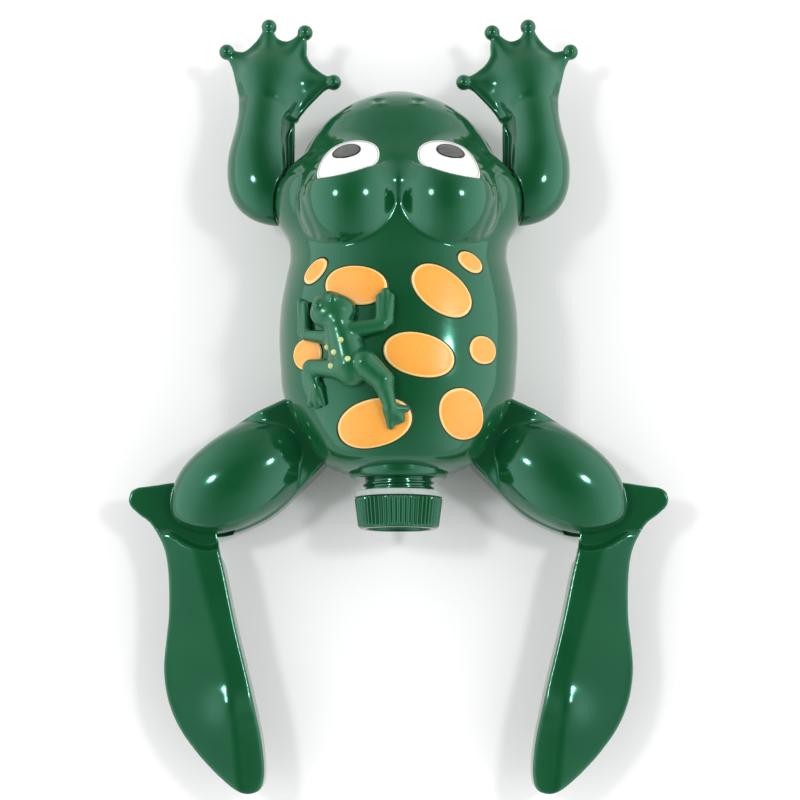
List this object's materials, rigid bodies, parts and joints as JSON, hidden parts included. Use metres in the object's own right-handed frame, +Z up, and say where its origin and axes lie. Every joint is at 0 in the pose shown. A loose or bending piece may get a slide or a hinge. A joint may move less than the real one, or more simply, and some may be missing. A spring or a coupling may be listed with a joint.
{
  "type": "swimming frog toy",
  "caption": "Battery-driven swimming frog toy: hollow green hull with bulging eyes, webbed arms, hinged thighs and paddles kicked by a geared crank and yoke, and a screw cap at the rump.",
  "frame": {"origin": "on the flat belly, midway between the finger tips and the paddle tips, on the hull's centre plane", "axes": "+Y towards the snout, +X to the frog's right, +Z up from the belly"},
  "size_m": [0.2628, 0.3799, 0.0855],
  "materials": {
    "green_plastic": "polished injection-moulded green ABS",
    "eye_white": "glossy white",
    "pupil_black": "glossy black",
    "gasket_rubber": "translucent grey silicone",
    "steel": "plated steel",
    "cell_jacket": "plain dark jacket without print",
    "white_plastic": "natural white acetal",
    "motor_can": "drawn steel can",
    "brass": "machined",
    "float_foam": "closed-cell foam",
    "wire_red": "wire insulation",
    "wire_black": "wire insulation"
  },
  "bodies": {
    "hull": {"arm_left": "green_plastic", "arm_right": "green_plastic", "baby_frog": "green_plastic", "battery_cell_front": "cell_jacket", "battery_cell_rear": "cell_jacket", "battery_tube": "green_plastic", "centre_bulkhead": "white_plastic", "contact_plate_front": "steel", "contact_strip": "steel", "eye_left": "eye_white", "eye_right": "eye_white", "float_block_left": "float_foam", "float_block_right": "float_foam", "gearbox_base": "white_plastic", "gearbox_lid": "white_plastic", "hip_shaft_left": "steel", "hip_shaft_right": "steel", "hull_screw_front": "steel", "hull_screw_neck_left": "steel", "hull_screw_neck_right": "steel", "hull_screw_rump_left": "steel", "hull_screw_rump_right": "steel", "idler_axle": "steel", "lower_shell": "green_plastic", "motor": "motor_can", "motor_lead_negative": "wire_black", "motor_lead_positive": "wire_red", "pupil_left": "pupil_black", "pupil_right": "pupil_black", "shaft_seal": "gasket_rubber", "upper_shell": "green_plastic"},
    "thigh_left": {"thigh_upper_left": "green_plastic", "thigh_lower_left": "green_plastic", "thigh_screw_left": "steel", "knee_pin_left": "steel", "hip_gear_left": "white_plastic"},
    "thigh_right": {"thigh_upper_right": "green_plastic", "thigh_lower_right": "green_plastic", "thigh_screw_right": "steel", "knee_pin_right": "steel", "hip_gear_right": "white_plastic"},
    "paddle_left": {"paddle_left": "green_plastic"},
    "paddle_right": {"paddle_right": "green_plastic"},
    "yoke": {"drive_yoke": "white_plastic"},
    "crank": {"crank_gear": "white_plastic", "crank_shaft": "steel", "crank_disc": "white_plastic"},
    "second_gear": {"second_gear": "white_plastic"},
    "first_gear": {"first_gear": "white_plastic"},
    "rotor": {"motor_pinion": "brass", "motor_shaft": "steel"},
    "cap_seat": {"cap_gasket": "gasket_rubber"},
    "cap": {"cap": "green_plastic", "cap_contact_plate": "steel", "cap_spring": "steel"}
  },
  "joints": [
    {"name": "hip_left", "type": "hinge", "parent": "hull", "child": "thigh_left", "pos_m": [-0.034, -0.004, 0.024], "axis": [0, 0, 1], "range_deg": [-22, 12]},
    {"name": "hip_right", "type": "hinge", "parent": "hull", "child": "thigh_right", "pos_m": [0.034, -0.004, 0.024], "axis": [0, 0, -1], "range_deg": [-22, 12]},
    {"name": "yoke_slide", "type": "slide", "parent": "hull", "child": "yoke", "axis": [0, 1, 0], "range_m": [-0.0039, 0.0021]},
    {"name": "knee_left", "type": "hinge", "parent": "thigh_left", "child": "paddle_left", "pos_m": [-0.097, -0.0524, 0.0235], "axis": [0, 0, -1], "range_deg": [-8, 30]},
    {"name": "knee_right", "type": "hinge", "parent": "thigh_right", "child": "paddle_right", "pos_m": [0.097, -0.0524, 0.0235], "axis": [0, 0, 1], "range_deg": [-8, 30]},
    {"name": "crank_turn", "type": "hinge", "parent": "hull", "child": "crank", "pos_m": [0, 0.088, 0.04], "axis": [0, 0, 1], "continuous": true},
    {"name": "second_gear_turn", "type": "hinge", "parent": "hull", "child": "second_gear", "pos_m": [0, 0.076, 0.038], "axis": [0, 0, 1], "continuous": true},
    {"name": "first_gear_turn", "type": "hinge", "parent": "hull", "child": "first_gear", "pos_m": [0, 0.088, 0.035], "axis": [0, 0, 1], "continuous": true},
    {"name": "motor_turn", "type": "hinge", "parent": "hull", "child": "rotor", "pos_m": [0, 0.1, 0.034], "axis": [0, 0, 1], "continuous": true},
    {"name": "cap_travel", "type": "slide", "parent": "hull", "child": "cap_seat", "axis": [0, 1, 0], "range_m": [-0.00501, 0.00526]},
    {"name": "cap_turn", "type": "hinge", "parent": "cap_seat", "child": "cap", "pos_m": [0, -0.055, 0.034], "axis": [0, 1, 0], "range_deg": [-720, 756]}
  ],
  "couplings": [
    {"joint": "hip_right", "follows": "hip_left", "ratio": 1},
    {"joint": "yoke_slide", "follows": "hip_left", "m_per_rad": 0.01},
    {"joint": "second_gear_turn", "follows": "crank_turn", "ratio": -3},
    {"joint": "first_gear_turn", "follows": "crank_turn", "ratio": 9},
    {"joint": "motor_turn", "follows": "crank_turn", "ratio": -27},
    {"joint": "cap_travel", "follows": "cap_turn", "m_per_rad": 0.00039789}
  ]
}
